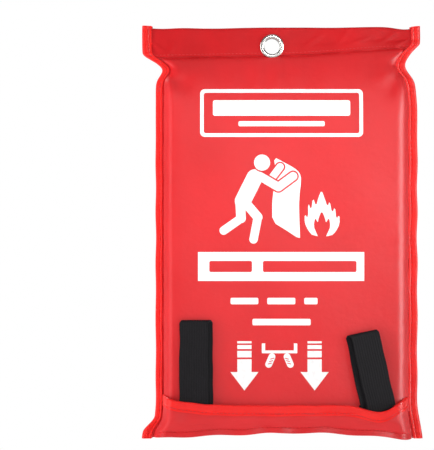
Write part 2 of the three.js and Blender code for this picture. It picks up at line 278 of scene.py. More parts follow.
class Finish:
    """A material under way: its shader, and any node that a pattern on it needs."""

    def __init__(self, name, **shader):
        self.material = bpy.data.materials.new(name)
        self.material.use_nodes = True
        self.tree = self.material.node_tree
        self.tree.nodes.clear()
        self.shader = self.tree.nodes.new("ShaderNodeBsdfPrincipled")
        end = self.tree.nodes.new("ShaderNodeOutputMaterial")
        self.tree.links.new(self.shader.outputs[0], end.inputs[0])
        self.set(shader)

    def set(self, sockets, node=None):
        for name, value in sockets.items():
            name = name.replace("_", " ") if isinstance(name, str) else name
            socket = (node or self.shader).inputs[name]
            if isinstance(value, Wire):
                self.tree.links.new(value.socket, socket)
            else:
                socket.default_value = value

    def node(self, kind, settings=None, sockets=None, give=0):
        made = self.tree.nodes.new(kind)
        for name, value in (settings or {}).items():
            setattr(made, name, value)
        self.set(sockets or {}, made)
        return Wire(self, made.outputs[give])

    def mix(self, first, second, share):
        return self.node("ShaderNodeMix", {"data_type": "RGBA"}, {0: share, 6: first, 7: second}, 2)

    def noise(self, place, scale, detail=3, roughness=0.5):
        return self.node("ShaderNodeTexNoise", {},
                         {"Vector": place, "Scale": scale, "Detail": detail, "Roughness": roughness})

    def place(self):
        return self.node("ShaderNodeTexCoord", give=3)

    def weave(self):
        """The two directions of a cloth's threads, in metres."""
        split = self.node("ShaderNodeUVMap", {"uv_map": "UVMap"})
        across = self.node("ShaderNodeSeparateXYZ", {}, {0: split})
        return across, Wire(self, across.socket.node.outputs[1])

    def bump(self, height, depth, strength=1.0):
        return self.node("ShaderNodeBump", {},
                         {"Height": height, "Distance": depth / 1000, "Strength": strength})


def coated_cloth(name, colour, deep, roughness, gloss=0.36):
    """Polyester cloth with a soft coating: fine plain weave, faint mottling, a satin sheen."""
    made = Finish(name, Specular_IOR_Level=gloss, Sheen_Weight=0.02, Sheen_Roughness=0.4)
    place, (across, along) = made.place(), made.weave()
    blotch = made.noise(place, 28, 4)
    grain = made.noise(place, 900, 2)
    made.set({
        "Base Color": made.mix(deep, colour, blotch * 1.5 - 0.15 + (grain - 0.5) * 0.25),
        "Roughness": roughness + (blotch - 0.5) * 0.14 + (grain - 0.5) * 0.1,
    })
    thread_rate = 2 * math.pi / 0.0009
    threads = (across * thread_rate).sine() * (along * thread_rate).sine()
    creases = made.noise(place, 210, 3, 0.6)
    made.set({"Normal": made.bump(threads * 0.5 + grain * 0.5 + creases * 3.2, 0.09, 0.8)})
    return made.material


red_cloth = coated_cloth("red_cloth", (0.76, 0.012, 0.017, 1), (0.66, 0.008, 0.011, 1), 0.46)
# The header's cloth: the same red cloth with less gloss, its colour darkened as painted shade.
shaded_header_cloth = coated_cloth("shaded_header_cloth", (0.66, 0.008, 0.012, 1), (0.50, 0.006, 0.008, 1), 0.5, 0.14)

foot_face = -20.0
back_depth, foot_sweep = 3.5, 5
back_columns = panel_columns((8.6, 9), (8, 9), back_depth, 60)
panel_top = header_top - 2 * ply
back_heights = even_rows(panel_top, foot_middle, back_depth, 170)
below = np.clip((front_edge - 1 - back_heights) / (front_edge - 1 - foot_middle), 0, 1)
foot_reach = np.clip((body_half - back_columns[1]) / body_half, 0, 1)
back_z = back_heights - foot_sweep * below * foot_reach**3
back_x = across_at(back_columns, back_z)
back_y = ply / 2 + (back_layer - ply / 2) * back_columns[2] * swell(back_heights)
back_y = back_y + (foot_face + ply - back_y) * back_columns[2] * (1 - np.cos(below * math.pi / 2)) ** 1.1
back_points = np.stack([back_x, back_y, back_z], axis=2)
back_free = back_columns[2] * ease((header_seam - 4 - back_z) / 25) * ease((back_z - foot_middle - 4) / 20)
back_points[..., 1] -= back_free * (0.35 + 0.35 * ripples(back_x, back_z, 55, 11))
back_panel = cloth_piece("back_cloth", hang(back_points), cloth_thick, red_cloth, eyelet_punch)
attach(back_panel, "pouch")
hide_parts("back_panel")

# ---------------------------------------------------------------------------------------------
# Front panel: the printed cloth, sewn into the same seams and pushed out by the folded blanket.
# The seams' pull ripples its shoulders, the header gathers its top, and its lower edge is free.

front_depth = -ply / 2 - front_layer
belly, fullest_slack, corner_fold = 1.3, 0.42, 0.95
front_columns = panel_columns((9.0, 9.5), (6.8, 9.5), front_depth, 96)
front_z = even_rows(panel_top, front_edge, front_depth, 250)
front_side, front_in, front_lift = front_columns
front_x = across_at(front_columns, front_z)
front_z = front_z + 0 * front_x
middle_share = np.clip(1 - ((front_x - pouch_middle) / 84) ** 2, 0, 1)
front_y = -ply / 2 - front_depth * front_lift * swell(front_z)
front_y -= belly * middle_share * ease((-40 - front_z) / 70) * ease((front_z + 222) / 50)
front_points = np.stack([front_x, front_y, front_z], axis=2)

swelled = ease((header_seam - 2 - front_z) / 16)
above_flap = ease((front_z + 246) / 14)
slack = fullest_slack * front_lift**2 * ripples(front_x, front_z, 62, 3)
slack = slack * ease((header_seam - 12 - front_z) / 25)
slack = slack * ease((front_z + 256) / 18)
pull = np.exp(-(((front_in - 11) / 8) ** 2)) * swelled * above_flap
seam_pull = 0.3 * pull * ripples(front_z, 40 * front_side, 13, 8) * (
    0.6 + 0.6 * ripples(front_z, 90 * front_side, 60, 9))
gathers = np.exp(-(((front_z - header_seam + 13) / 11) ** 2)) * ease((front_in - 10) / 20) * (
    0.32 * np.sin(front_x / 2.9 + 1.7 * np.sin(front_x / 15)) + 0.3 * np.sin(front_x / 8 + 1))
corner_x = pouch_middle + front_side * 86
from_corner = np.hypot(front_x - corner_x, front_z - header_seam + 9)
round_corner = np.arctan2(np.abs(front_x - corner_x), header_seam - 9 - front_z)
corner_folds = np.sin(5.2 * round_corner + 1.1 * front_side + 0.6)
corner_folds = corner_fold * np.exp(-(((from_corner - 15) / 10) ** 2)) * corner_folds
front_points += facing(front_points) * (
    slack + (seam_pull + gathers) * above_flap + corner_folds * swelled)[..., None]
front_panel = cloth_piece("front_cloth", hang(front_points), cloth_thick, red_cloth, eyelet_punch)
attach(front_panel, "pouch")
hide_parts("front_panel")

# ---------------------------------------------------------------------------------------------
# Header band: a strip of the same cloth folded over the top of both panels and sewn through
# them, which makes the header stiff enough for the eyelet. Its cloth is coloured darker, as
# painted shade.


def folded_tape(reach_front, reach_back, front, back, steps=10):
    """Tape folded over an edge, seen end on: distance in from the fold, and across the edge."""
    radius = (front + back) / 2
    turn = np.linspace(-math.pi / 2, math.pi / 2, steps)
    front_leg = np.linspace(reach_front, radius + 0.3, steps)[:-1]
    back_leg = np.linspace(radius + 0.3, reach_back, steps)[1:]
    inward = np.r_[front_leg, radius + 0.3 - radius * np.cos(turn), back_leg]
    across = np.r_[0 * front_leg - front, (back - front) / 2 + radius * np.sin(turn),
                   0 * back_leg + back]
    return inward, across


band_reach, band_thick = 20, 0.55
band_inward, band_across = folded_tape(band_reach, band_reach, 1.5 * ply, 1.5 * ply, 14)
band_z = (header_top - band_inward)[None, :]
band_share = np.linspace(-1, 1, 180)[:, None]
band_x = pouch_middle + band_share * (half_width(band_z, band_share) - 2.6)
band_y = band_across[None, :] - 0.16 * np.sign(band_across) * ripples(band_x, band_z, 16, 21)
lip = np.exp(-(((band_z - header_seam) / 1.6) ** 2)) * 0.35 * (1 + 0.5 * np.sin(band_x / 3.1))
creases = 0
for at, height, lean, long, deep in (
    (-72, -3, 0.5, 9, 0.5), (-40, 6, -0.7, 12, 0.35), (31, 4, 0.9, 9, 0.45), (52, 7, 0.6, 8, 0.6),
    (64, 2, 1.1, 10, 0.4), (84, 5, 0.8, 9, 0.7), (92, -2, 0.7, 8, 0.7), (-84, 2, -0.9, 10, 0.6),
):
    off_x, off_z = band_x - at, band_z - height
    beside = off_x * math.cos(lean) - off_z * math.sin(lean)
    beyond = off_x * math.sin(lean) + off_z * math.cos(lean)
    creases = creases + deep * np.exp(-((beside / 1.7) ** 2) - (beyond / long) ** 2)
band_y = band_y - lip * (band_across < 0) - creases
band_points = np.stack([band_x, band_y, band_z + 0 * band_x], axis=2)
header_band = cloth_piece(
    "header_band_cloth", hang(band_points), band_thick, shaded_header_cloth, eyelet_punch)
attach(header_band, "pouch")
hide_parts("header_band")

# ---------------------------------------------------------------------------------------------
# Side bindings: bright satin bias tape folded over each side seam, from just above the header
# to just below the foot. The seam is pinched under the header, where the tape crumples.


def satin_tape(name, colour, deep):
    """Satin bias tape: closely ribbed across its length, glossier than the cloth it binds."""
    made = Finish(name, Specular_IOR_Level=0.24)
    place, (across, along) = made.place(), made.weave()
    blotch = made.noise(place, 60, 3)
    ribs = (along * (2 * math.pi / 0.0008) + across * 900).sine()
    made.set({
        "Base Color": made.mix(deep, colour, blotch * 1.4 - 0.1 + ribs * 0.06),
        "Roughness": 0.36 + (blotch - 0.5) * 0.16,
        "Normal": made.bump(ribs * 0.6 + made.noise(place, 260, 3) * 4, 0.1, 0.8),
    })
    return made.material


tape_finish = satin_tape("satin_tape", (0.98, 0.018, 0.014, 1), (0.86, 0.010, 0.010, 1))
foot_corner = foot_middle - foot_sweep
mouth_end = flap_high.z - ply
tape_steps, tape_seam = 15, 1.8


def binding_points(side, z, reach_front, reach_back):
    """The tape down one side seam: a column of points across its fold at each height."""
    over_band = ease((z - header_seam + 6) / 5.4)
    over_flap = 1 - ease((z - mouth_end - 2) / 7)
    front = 1.5 * ply + ply * np.maximum(over_band, over_flap)
    back = 1.5 * ply + ply * over_band
    tapes = [folded_tape(reach_front, reach_back, f, b, tape_steps) for f, b in zip(front, back)]
    inward = np.array([t[0] for t in tapes]).T
    across = np.array([t[1] for t in tapes]).T
    tall = z[None, :]
    pinch = np.exp(-(((tall - header_seam + 9) / 8) ** 2))
    foot = np.exp(-(((tall - foot_corner) / 16) ** 2))
    buckle = (0.25 + 1.1 * pinch + 0.7 * foot) * ripples(0 * tall, tall, 9 if side > 0 else 11, 31)
    x = pouch_middle + side * (half_width(tall, side) - inward + 0.3 * ripples(0 * tall, tall, 30, 5))
    y = across + buckle * np.exp(-((inward / 7) ** 2)) * 0.6
    sewn_in = 0.4 * np.exp(-(((inward - reach_front + tape_seam) / 0.5) ** 2))
    y = y + (sewn_in - 0.12 * np.sin(2 * math.pi * tall / 2.8)) * (across < 0)
    return np.stack([x + 0 * tall, y, tall + 0 * x], axis=2)


for side, name in ((-1, "left"), (1, "right")):
    tape_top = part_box(name + "_side_binding")[1].z * 1000
    tape_z = np.linspace(tape_top, foot_corner - 1, 420)
    shape = binding_points(side, tape_z, 6.8 if side < 0 else 6.5, 7.5)
    binding = cloth_piece(name + "_side_tape", hang(shape), cloth_thick, tape_finish)
    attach(binding, "pouch")
    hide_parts(name + "_side_binding")

# ---------------------------------------------------------------------------------------------
# Pocket flap: the same cloth, sewn to the back panel along the bottom and into both side
# seams, and open along the top. It runs forward under the blanket, then up over the tabs' ends.

hem_height, mouth_height = 4.0, 19
mouth_dip, mouth_rise, shelf_bend = 6.8, 9.5, 12.5
mouth_middle = foot_middle + mouth_height - ply
right_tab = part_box("right_tab_anchor")
tab_right = (right_tab[0].x + right_tab[1].x) * 500


def flap_surface(columns, z_share):
    """The flap through its columns; the share runs from the mouth, 0, to the foot, 1."""
    side, edge, lift = columns
    reach = side * (body_half - edge) / body_half
    foot = foot_middle - foot_sweep * np.abs(reach) ** 3 - 1.3 * (1 - lift)
    dip = mouth_dip * np.exp(-(((reach * body_half + pouch_middle - tab_right) / 14) ** 2))
    mouth = mouth_middle + mouth_rise * reach**4 - dip
    z = mouth + (foot - mouth) * z_share
    seam = -1.5 * ply + (foot_face + 1.5 * ply) * lift
    between = np.abs(reach) * body_half / 45
    wall = -1.5 * ply + (flap_low.y + 0.3 + 1.5 * ply) * lift
    wall = wall + 0.7 * lift * (1 - ease(2 * between - 1))
    rise = np.clip((z - foot - hem_height) / shelf_bend, 0, 1)
    y = seam + (wall - seam) * np.sin(np.arccos(np.clip(1 - rise, 0, 1))) ** 0.9
    x = across_at(columns, z)
    sag = lift * ease((z - foot - 5) / 6) * ease((mouth - z + 2) / 5)
    y = y - sag * (0.7 + 0.8 * ripples(x, z, 26, 41))
    hem = (1 - ease((z - foot - hem_height) / 3)) * lift
    down = np.clip((foot + hem_height - z) / hem_height, 0, 1)
    y = y - hem * 0.7 * np.sin(x / 4.6 + 1.5 * np.sin(x / 17)) - lift * 1.4 * down
    z = z + hem * (0.5 * np.sin(x / 6.1 + 2) + 0.7 * np.sin(x / 21 + 0.5) - 1.0) + 0 * x
    return np.stack([x, y, z], axis=2)


flap_columns = panel_columns((9.0, 9), (8.2, 9), 20, 130)
flap_share = np.r_[np.linspace(0, 0.35, 10)[:-1], np.linspace(0.35, 1, 52)][None, :]
flap_points = flap_surface(flap_columns, flap_share)
pocket_flap = cloth_piece("flap_cloth", hang(flap_points), cloth_thick, red_cloth)
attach(pocket_flap, "pouch")
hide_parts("pocket_flap")

# ---------------------------------------------------------------------------------------------
# Flap binding: the same satin tape, folded over the flap's top edge between the side seams.

mouth_columns = tuple(c[(flap_columns[2] > 0.1).ravel()] for c in flap_columns)
mouth_line = flap_surface(mouth_columns, np.array([[0.0, 0.04]]))
mouth_side = facing(np.concatenate([mouth_line, 2 * mouth_line[:, 1:] - mouth_line[:, :1]], axis=1))
mouth_side = mouth_side[:, :1] * np.array([1, 1, 0])
mouth_side /= np.linalg.norm(mouth_side, axis=2, keepdims=True)
mouth_lip, mouth_seam = 1.2, 5.9
mouth_inward, mouth_across = folded_tape(7.6, 7.4, ply * 1.1, ply, 18)
along = mouth_line[:, :1, 0]
tape_wave = 0.35 * ripples(along, 0 * along, 19, 51)
mouth_groove = 0.5 * np.exp(-(((mouth_inward - mouth_seam) / 0.55) ** 2)) * (mouth_across < 0)
mouth_points = mouth_line[:, :1] + mouth_side * -(mouth_across - 0.12 + mouth_groove)[None, :, None]
mouth_points[..., 2] += mouth_lip - mouth_inward[None, :] + tape_wave * 0.5
mouth_points += mouth_side * (tape_wave * ease((mouth_inward[None, :] - 2) / 3))[..., None] * 0.4
flap_tape = cloth_piece("flap_tape", hang(mouth_points), cloth_thick, tape_finish)
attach(flap_tape, "pouch")
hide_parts("flap_binding")

# ---------------------------------------------------------------------------------------------
# Printing: white ink screened on the front panel. It shows a plain sign panel, a figure holding
# a blanket to a fire, a title band, lines of plain bars, and two arrows down to the mouth.

white_ink = Finish("white_ink", Roughness=0.5)
ink_place = white_ink.place()
ink_wear = white_ink.noise(ink_place, 300, 4)
white_ink.set({
    "Base Color": white_ink.mix((0.90, 0.87, 0.87, 1), (1, 1, 1, 1), ink_wear * 3 - 0.7),
    "Roughness": 0.45 + (ink_wear - 0.5) * 0.2,
    "Normal": white_ink.bump(ink_wear, 0.03, 0.6),
})


def bar(left, right, low, high, round_by=0.0, corner_steps=5):
    """A bar with rounded corners, as a closed outline."""
    if not round_by:
        return [(left, low), (right, low), (right, high), (left, high)]
    outline = []
    corners = ((right, low, -90), (right, high, 0), (left, high, 90), (left, low, 180))
    for x, z, start in corners:
        centre_x = x - round_by if x == right else x + round_by
        centre_z = z + round_by if z == low else z - round_by
        for k in range(corner_steps + 1):
            angle = math.radians(start + 90 * k / corner_steps)
            outline.append((centre_x + round_by * math.cos(angle),
                            centre_z + round_by * math.sin(angle)))
    return outline


def limb(start, end, width):
    """A straight limb with round ends."""
    (x, z), (to_x, to_z) = start, end
    heading = math.atan2(to_z - z, to_x - x)
    outline = []
    for centre, first in ((end, -90), (start, 90)):
        for k in range(13):
            angle = heading + math.radians(first + 15 * k)
            outline.append((centre[0] + width / 2 * math.cos(angle),
                            centre[1] + width / 2 * math.sin(angle)))
    return outline


def soft_outline(points, rounds=3):
    """A closed outline with its corners cut again and again until they are round."""
    for _ in range(rounds):
        following = points[1:] + points[:1]
        points = [
            (a[0] * p + b[0] * (1 - p), a[1] * p + b[1] * (1 - p))
            for a, b in zip(points, following) for p in (0.75, 0.25)]
    return points


panel_surface = BVHTree.FromObject(front_panel, bpy.context.evaluated_depsgraph_get())
print_step, ink_lift = 0.004, 0.00011


def printed(name, layers):
    """Ink on the panel from a painter's list of (ink or bare, outline): later ones lie on top."""
    corners, faces = [], []
    for _, outline in layers:
        area = sum(a[0] * b[1] - b[0] * a[1] for a, b in zip(outline, outline[1:] + outline[:1]))
        faces.append(list(range(len(corners), len(corners) + len(outline))))
        corners += [Vector(p) for p in (outline if area > 0 else outline[::-1])]
    points, _, made, _, _, from_layers = geometry.delaunay_2d_cdt(corners, [], faces, 1, 1e-4)
    bm = bmesh.new()
    spots = [bm.verts.new((p.x / 1000, 0, p.y / 1000)) for p in points]
    for face, layers_here in zip(made, from_layers):
        if layers_here and layers[max(layers_here)][0] == "ink":
            bm.faces.new([spots[k] for k in face])
    bmesh.ops.delete(bm, geom=[v for v in bm.verts if not v.link_faces], context="VERTS")
    for axis in (0, 2):
        low, high = min(v.co[axis] for v in bm.verts), max(v.co[axis] for v in bm.verts)
        for k in range(1, int((high - low) / print_step) + 1):
            cut = Vector((0, 0, 0))
            cut[axis] = low + k * print_step
            across = Vector([float(axis == n) for n in range(3)])
            bmesh.ops.bisect_plane(bm, geom=bm.verts[:] + bm.edges[:] + bm.faces[:], dist=1e-7,
                                   plane_co=cut, plane_no=across)
    for spot in bm.verts:
        hit, normal, _, _ = panel_surface.ray_cast(
            Vector((spot.co.x, cad_low.y - 0.05, spot.co.z)), Vector((0, 1, 0)))
        spot.co = hit - Vector((0, ink_lift, 0))
    bmesh.ops.recalc_face_normals(bm, faces=bm.faces)
    if sum(f.normal.y * f.calc_area() for f in bm.faces) > 0:
        bmesh.ops.reverse_faces(bm, faces=bm.faces)
    mesh = bpy.data.meshes.new(name)
    bm.to_mesh(mesh)
    bm.free()
    print_piece = new_piece(name, mesh, white_ink.material)
    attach(print_piece, "pouch")


printed("print_sign_panel", [
    ("ink", bar(-51, 63.7, -65.1, -31.3, 3.2)),
    ("bare", bar(-48.4, 61.1, -62.5, -33.9, 1.6)),
    ("ink", bar(-42, 54.7, -50.2, -39.2, 1.4)),
    ("ink", bar(-24, 36.7, -57.6, -54.0, 1.0)),
])

cloth_held = soft_outline([
    (0.7, -79.0), (8, -83), (15.5, -87.0), (19.2, -90.4), (20.3, -95), (18.6, -108.5), (18.8, -122),
    (19.3, -133), (19.3, -137.3), (9, -130.4), (-0.2, -124.9), (-0.4, -112), (0.6, -103), (2.5, -90)], 1)
printed("print_figure", [
    ("ink", limb((-12.6, -93.6), (-20.9, -110.2), 11.4)),
    ("ink", limb((-18.4, -112.2), (-10.4, -121.6), 6.6)),
    ("ink", limb((-10.4, -121.6), (-13.4, -137.2), 6.0)),
    ("ink", limb((-22.8, -110.8), (-22.2, -122.4), 6.8)),
    ("ink", limb((-22.2, -122.4), (-34.4, -131.0), 6.0)),
    ("bare", limb((-7.4, -83.2), (-7.4, -83.201), 13.4)),
    ("ink", limb((-7.4, -83.2), (-7.4, -83.201), 11.4)),
    ("ink", cloth_held),
    ("bare", limb((-1.0, -94.6), (5.3, -86.2), 7.4)),
    ("ink", limb((-1.0, -94.6), (5.3, -86.2), 5.2)),
    ("bare", limb((4.1, -100.4), (14.4, -92.8), 8.2)),
    ("bare", limb((-4.0, -95.6), (4.1, -100.4), 8.2)),
    ("ink", limb((-8.9, -92.8), (4.1, -100.4), 6.0)),
    ("ink", limb((4.1, -100.4), (14.4, -92.8), 6.0)),
])

printed("print_fire", [
    ("ink", soft_outline([
        (34.4, -102.6), (36.3, -107.4), (38.6, -114.4), (40.2, -110.0), (41.8, -119.0), (43.9, -114.0),
        (44.8, -123.2), (47.0, -119.6), (47.2, -126.4), (44.5, -131.8), (41.0, -135.0), (28.4, -135.0),
        (24.8, -130.6), (22.5, -125.4), (22.6, -119.4), (25.0, -122.6), (25.0, -111.0), (27.2, -117.0),
        (28.4, -107.6), (30.6, -114.2), (32.3, -107.4)], 1)),
    ("bare", soft_outline([
        (34.6, -117.0), (37.0, -122.6), (37.6, -125.8), (39.6, -121.6), (40.8, -128.0), (38.6, -133.0),
        (37.0, -136.5), (32.4, -136.5), (31.0, -133.0), (28.8, -128.0), (30.0, -121.6),
        (31.8, -125.8), (32.4, -122.0)], 1)),
])

printed("print_title_band", [
    ("ink", bar(-52.5, 64.5, -166.5, -146.1)),
    ("bare", bar(-44.5, -14.5, -160.2, -152.4, 1.2)),
    ("bare", bar(-6.8, 59.0, -160.2, -152.4, 1.2)),
])

lines = []
for low, start, words in ((-182.9, -29.6, (19.6, 19.8, 9.4)), (-197.7, -14.2, (41.0,))):
    at = start
    for width in words:
        lines.append(("ink", bar(at, at + width, low, low + 4.6, 1.0)))
        at += width + 6.2
printed("print_lines", lines)

for name, middle in (("print_left_arrow", -19.8), ("print_right_arrow", 29.6)):
    printed(name, [
        ("ink", bar(middle - 5.0, middle + 5.0, high - tall, high))
        for high, tall in ((-208.9, 1.5), (-211.6, 2.8), (-215.7, 4.6))
    ] + [
        ("ink", [(middle - 5.0, -221.6), (middle - 5.0, -230.6), (middle - 9.9, -230.6),
                 (middle, -243.6), (middle + 9.9, -230.6), (middle + 5.0, -230.6),
                 (middle + 5.0, -221.6)])])

printed("print_pouch_sign", [
    ("ink", bar(-7.6, 17.4, -217.4, -210.4, 0.5)),
    ("bare", bar(-5.2, 15.0, -215.4, -206.0)),
] + [
    layer for turn in (-1, 1) for layer in
    [("ink", limb((4.9 + 5.3 * turn, -219.8), (4.9 + 7.6 * turn, -225.2), 4.8))] + [
        ("bare", limb((4.9 + (4.0 + 0.8 * k) * turn, -220.9 - 1.7 * k),
                      (4.9 + (6.3 + 0.8 * k) * turn, -221.5 - 1.7 * k), 0.6)) for k in range(3)]
])

# ---------------------------------------------------------------------------------------------
# Eyelet and washer: nickel-plated pressed metal. The flanged barrel is pushed through the header
# from the front and rolled over the washer behind it.

nickel = Finish("nickel", Metallic=1.0)
nickel_place = nickel.place()
rub = nickel.noise(nickel_place, 1400, 3)
cloud = nickel.noise(nickel_place, 160, 3)
nickel.set({
    "Base Color": nickel.mix((0.42, 0.41, 0.39, 1), (0.62, 0.61, 0.59, 1), cloud * 1.3 - 0.1),
    "Roughness": 0.24 + (rub - 0.5) * 0.08,
    "Normal": nickel.bump(cloud, 0.01, 0.3),
})


def turned_ring(name, outline, body):
    """A ring turned round the eyelet's axis from a closed outline of (radius, depth) in mm."""
    bm = bmesh.new()
    ring = [bm.verts.new((r / 1000, y / 1000, 0)) for r, y in outline]
    edges = [bm.edges.new(pair) for pair in zip(ring, ring[1:] + ring[:1])]
    bmesh.ops.spin(bm, geom=ring + edges, cent=(0, 0, 0), axis=(0, 1, 0), angle=2 * math.pi,
                   steps=112, use_merge=True)
    bmesh.ops.remove_doubles(bm, verts=bm.verts, dist=1e-7)
    bmesh.ops.recalc_face_normals(bm, faces=bm.faces)
    mesh = bpy.data.meshes.new(name)
    bm.to_mesh(mesh)
    bm.free()
    piece = new_piece(name, mesh, nickel.material)
    mesh.set_sharp_from_angle(angle=math.radians(40))
    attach(piece, body)
    return piece


eyelet_low, eyelet_high = corners_mm("eyelet")
washer_low, washer_high = corners_mm("eyelet_washer")
flange = (eyelet_high.x - eyelet_low.x) / 2
bore, crown = 5.5, 1.1
seat = eyelet_low.y + crown
roll_top = eyelet_high.y
dome = [(bore + (flange - bore) * (0.5 + 0.5 * math.cos(a)), seat - 0.1 - (crown - 0.1) * math.sin(a))
        for a in np.linspace(0, math.pi, 16)]
roll = [(bore + 0.9 - 0.9 * math.cos(a), roll_top - 0.75 + 0.75 * math.sin(a))
        for a in np.linspace(0, math.pi, 12)]
eyelet = turned_ring("eyelet_ring", [(bore + 0.4, seat), (flange, seat)] + dome + roll
                     + [(bore + 0.4, roll_top - 0.75)], "pouch")
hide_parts("eyelet")
washer_ring = turned_ring("washer_ring", [
    (bore + 0.55, washer_low.y), (flange - 0.15, washer_low.y), (flange, washer_low.y + 0.15),
    (flange, washer_high.y - 0.15), (flange - 0.15, washer_high.y), (bore + 0.55, washer_high.y),
], "pouch")
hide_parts("eyelet_washer")

# ---------------------------------------------------------------------------------------------
# Blanket: a 1.0 m square of woven glass-fibre cloth, folded across into seven panels and then
# up and down into five leaves, so that it drops open when it is pulled out.

glass = Finish("glass_cloth", Sheen_Weight=0.1)
glass_place, (glass_across, glass_along) = glass.place(), glass.weave()
fibre = glass.noise(glass_place, 700, 3)
tow = 2 * math.pi / 0.0026
glass_threads = (glass_across * tow).sine() * (glass_along * tow).sine()
glass.set({
    "Base Color": glass.mix((0.62, 0.58, 0.47, 1), (0.83, 0.80, 0.71, 1),
                            glass_threads * 0.3 + fibre * 1.1),
    "Roughness": 0.62 + (fibre - 0.5) * 0.2,
    "Normal": glass.bump(glass_threads * 0.6 + fibre * 0.4, 0.16, 1.0),
})
blanket_low, blanket_high = corners_mm("folded_blanket")
panel_count, leaf_count = 7, 5
glass_thick, leaf_slack = 0.34, 0.45
leaf_pitch = (blanket_high.y - blanket_low.y + 0.3) / leaf_count
layer_pitch = (leaf_pitch - leaf_slack) / panel_count


def zigzag(share, count, width, pitch):
    """A strip folded back and forth: place across its stack and place through it, for a share
    of its length from 0 to 1. Gives the way that the strip faces as well."""
    straight = width - pitch
    turn = math.pi * pitch / 2
    length = count * straight + (count - 1) * turn
    at = share * length
    k = np.minimum(np.floor(at / (straight + turn)), count - 1)
    rest = at - k * (straight + turn)
    way = 1 - 2 * (k % 2)
    angle = np.clip((rest - straight) / turn, 0, 1) * math.pi
    along = way * (np.minimum(rest, straight) - straight / 2 + pitch / 2 * np.sin(angle))
    through = k * pitch + pitch / 2 * (1 - np.cos(angle))
    return along, through, (way * np.cos(angle), np.sin(angle))


def fold_shares(count, width, pitch, flat_steps, turn_steps):
    """Where a folded strip needs points: few on its flats and more round its turns."""
    straight, turn = width - pitch, math.pi * pitch / 2
    length = count * straight + (count - 1) * turn
    marks = []
    for k in range(count):
        start = k * (straight + turn)
        marks += list(start + np.linspace(0, straight, flat_steps + 1))
        if k < count - 1:
            marks += list(start + straight + np.linspace(0, turn, turn_steps + 1)[1:-1])
    return np.array(marks) / length


blanket_wide = blanket_high.x - blanket_low.x - 1.5
blanket_tall = blanket_high.z - blanket_low.z
sheet_share = fold_shares(panel_count, blanket_wide, layer_pitch, 8, 6)[:, None]
leaf_share = fold_shares(leaf_count, blanket_tall, leaf_pitch, 14, 12)[None, :]
across, through, _ = zigzag(sheet_share, panel_count, blanket_wide, layer_pitch)
offset = through - (panel_count - 1) * layer_pitch / 2
tall, deep, (facing_deep, facing_tall) = zigzag(leaf_share, leaf_count, blanket_tall, leaf_pitch)
blanket_x = (blanket_low.x + blanket_high.x) / 2 + across + 0 * tall
blanket_x = blanket_x + np.sign(across) * 0.5 * np.sin(7 * sheet_share + 19 * leaf_share)
blanket_y = blanket_high.y - leaf_pitch / 2 + 0.15 - deep - offset * facing_deep
blanket_z = (blanket_low.z + blanket_high.z) / 2 - tall - offset * facing_tall
blanket_points = np.stack([blanket_x, blanket_y, blanket_z], axis=2)
blanket_cloth = cloth_piece("folded_cloth", blanket_points, glass_thick, glass.material)
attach(blanket_cloth, "blanket")
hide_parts("folded_blanket")

# ---------------------------------------------------------------------------------------------
# Pull tabs: one length of black ribbed webbing each, sewn to the blanket inside, led round the
# front panel's lower edge and out of the mouth, and doubled back to make the loop to grip.

webbing = Finish("ribbed_webbing", Specular_IOR_Level=0.14)
web_place, (web_along, web_across) = webbing.place(), webbing.weave()
dust = webbing.noise(web_place, 420, 4)
rib = (web_across * (2 * math.pi / 0.0017)).sine()
pick = (web_along * (2 * math.pi / 0.0011) + rib * 1.3).sine()
webbing.set({
    "Base Color": webbing.mix((0.003, 0.0027, 0.0035, 1), (0.012, 0.010, 0.013, 1),
                              rib * 0.2 + pick * 0.14 + dust * 0.9),
    "Roughness": 0.74 + (dust - 0.5) * 0.2,
    "Normal": webbing.bump(rib * 0.5 + pick * 0.35 + dust * 0.4, 0.13, 0.8),
})
web_thick, web_wide, web_step, web_from_panel = 1.2, 20.0, 1.5, 1.2
front_inner = front_layer - web_from_panel
front_outer = front_inner - web_step
rear_inner = front_layer + web_from_panel
rear_outer = rear_inner + web_step
hinge_heights = {j["name"]: j["pos_m"][2] * 1000 for j in frame["record"]["behaviour"]["joints"]
                 if j["name"].endswith("tab_swing")}


def webbing_piece(name, path, middle, shift, lean=0.0, pivot=0.0):
    """Webbing along a path of (depth, height) points, with its middle shifted along the way."""
    path = np.array(path)
    step = np.r_[0, np.cumsum(np.linalg.norm(np.diff(path, axis=0), axis=1))]
    even = np.linspace(0, step[-1], int(step[-1] / 0.7) + 1)
    depth, height = (np.interp(even, step, path[:, k])[:, None] for k in (0, 1))
    shift = np.interp(even, step, shift)[:, None]
    wide = np.linspace(web_wide / 2, -web_wide / 2, 25)[None, :]
    sag = 0.12 * np.sin(height / 6.3 + middle) + 0.1 * np.sin(height / 3.1)
    local = wide * (1 - 0.01 * np.sin(height / 5)) + shift + sag
    x = middle + local * math.cos(lean) - (height - pivot) * math.sin(lean)
    z = pivot + (height - pivot) * math.cos(lean) + local * math.sin(lean)
    y = depth + 0.1 * np.sin(height / 4.7 + wide / 9)
    points = np.stack([x, y + 0 * x, z], axis=2)
    piece = cloth_piece(name, points, web_thick, webbing.material)
    return piece


def arc(centre_y, centre_z, radius, start, end, steps=14):
    return [(centre_y + radius * math.cos(a), centre_z + radius * math.sin(a))
            for a in np.radians(np.linspace(start, end, steps))]


